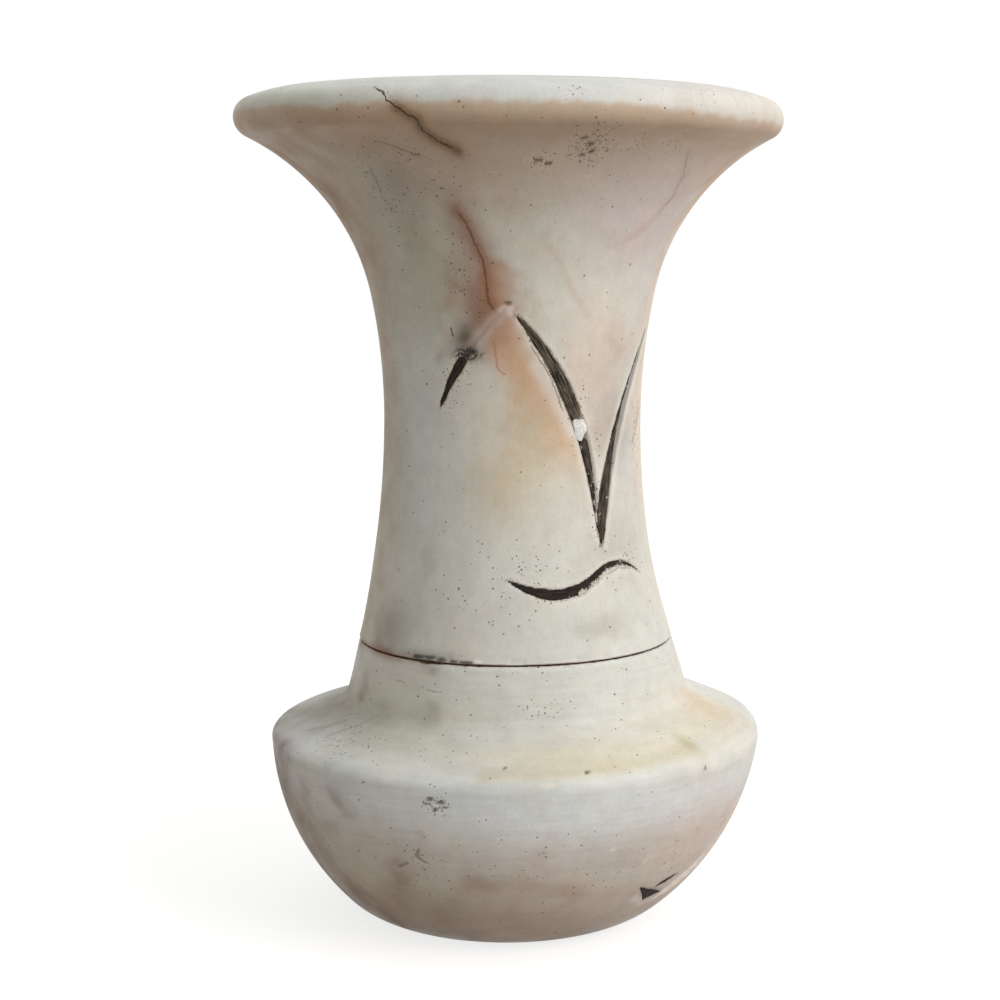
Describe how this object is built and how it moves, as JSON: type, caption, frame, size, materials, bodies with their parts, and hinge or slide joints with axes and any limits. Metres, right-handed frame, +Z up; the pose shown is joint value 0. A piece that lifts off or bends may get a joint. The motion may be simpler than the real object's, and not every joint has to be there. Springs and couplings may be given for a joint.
{
  "type": "vase",
  "caption": "Alabaster vase with a wide trumpet neck on a shouldered round bowl, incised strokes with dark fillings.",
  "frame": {"origin": "middle of the foot's underside, on the surface that the vase stands on", "axes": "+Z up along the turning axis, -Y towards the decorated side, +X to the right as seen from that side"},
  "size_m": [0.1588, 0.1588, 0.2433],
  "materials": {
    "alabaster": "satin",
    "cement": "matte",
    "dark_filling": "matte",
    "plaster": "matte"
  },
  "bodies": {
    "root": {"neck": "alabaster", "bowl": "alabaster", "seam_cement": "cement", "zigzag_left_inlay": "dark_filling", "zigzag_middle_upper_inlay": "dark_filling", "zigzag_middle_lower_inlay": "dark_filling", "zigzag_right_inlay": "dark_filling", "wave_inlay": "dark_filling", "bowl_stroke_inlay": "dark_filling", "plaster_patch": "plaster"}
  },
  "joints": []
}
